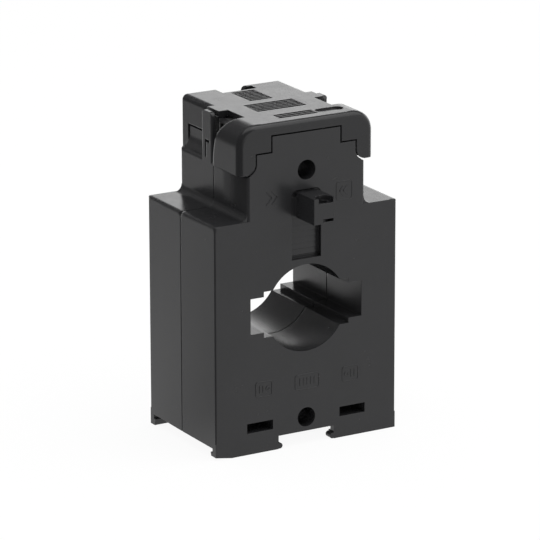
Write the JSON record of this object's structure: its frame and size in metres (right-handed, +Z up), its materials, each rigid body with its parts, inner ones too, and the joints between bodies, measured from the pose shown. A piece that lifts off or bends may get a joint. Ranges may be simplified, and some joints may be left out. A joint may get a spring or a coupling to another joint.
{
  "type": "current transformer",
  "caption": "Moulded current transformer with a stepped busbar and cable window, cage terminals under a lift-off cover, and a busbar bracket that slides down a ratchet track.",
  "frame": {"origin": "on the floor under the middle of the housing, which is the middle of the window seen from above", "axes": "+Z up, +X to the right seen from the front, the front with the bracket faces -Y"},
  "size_m": [0.0704, 0.0615, 0.1134],
  "materials": {
    "housing_front": "fine satin grain, moulded",
    "housing_rear": "fine satin grain, moulded",
    "cover_plastic": "fine satin grain, moulded",
    "bracket_plastic": "satin, moulded",
    "insert_plastic": "satin, moulded",
    "screw_steel": "bright zinc plate",
    "cage_steel": "bright zinc plate",
    "bar_brass": "tinned edges, rolled",
    "lead_cover": "soft insulation",
    "cup_plastic": "natural moulded nylon",
    "core_steel": "rolled strip",
    "copper_wire": "enamelled wire",
    "tape": "polyester film",
    "foam": "closed-cell foam"
  },
  "bodies": {
    "root": {"front_shell": "housing_front", "rear_shell": "housing_rear", "terminal_block": "insert_plastic", "terminal_bar_left": "bar_brass", "terminal_bar_right": "bar_brass", "lead_left": "lead_cover", "lead_right": "lead_cover", "core_cup": "cup_plastic", "core_cup_lid": "cup_plastic", "ring_core": "core_steel", "secondary_winding": "copper_wire", "winding_tape": "tape", "front_core_pad": "foam", "rear_core_pad": "foam", "housing_screw_low": "screw_steel", "housing_screw_high": "screw_steel"},
    "cover": {"terminal_cover": "cover_plastic"},
    "bracket": {"busbar_bracket": "bracket_plastic"},
    "screw_left": {"terminal_screw_left": "screw_steel"},
    "screw_right": {"terminal_screw_right": "screw_steel"},
    "cage_left": {"wire_cage_left": "cage_steel"},
    "cage_right": {"wire_cage_right": "cage_steel"}
  },
  "joints": [
    {"name": "cover_lift", "type": "slide", "parent": "root", "child": "cover", "axis": [0, 0, 1], "range_m": [0, 0.024]},
    {"name": "bracket_slide", "type": "slide", "parent": "root", "child": "bracket", "axis": [0, 0, -1], "range_m": [0, 0.014]},
    {"name": "screw_turn_left", "type": "hinge", "parent": "root", "child": "screw_left", "pos_m": [-0.0159, -0.0174, 0.1072], "axis": [0, 1, 0], "range_deg": [0, 2520]},
    {"name": "cage_pull_left", "type": "slide", "parent": "root", "child": "cage_left", "axis": [0, -1, 0], "range_m": [0, 0.0049]},
    {"name": "screw_turn_right", "type": "hinge", "parent": "root", "child": "screw_right", "pos_m": [0.0159, -0.0174, 0.1072], "axis": [0, 1, 0], "range_deg": [0, 2520]},
    {"name": "cage_pull_right", "type": "slide", "parent": "root", "child": "cage_right", "axis": [0, -1, 0], "range_m": [0, 0.0049]}
  ],
  "couplings": [
    {"joint": "screw_turn_left", "follows": "cage_pull_left", "rad_per_m": 8975.9},
    {"joint": "screw_turn_right", "follows": "cage_pull_right", "rad_per_m": 8975.9}
  ]
}
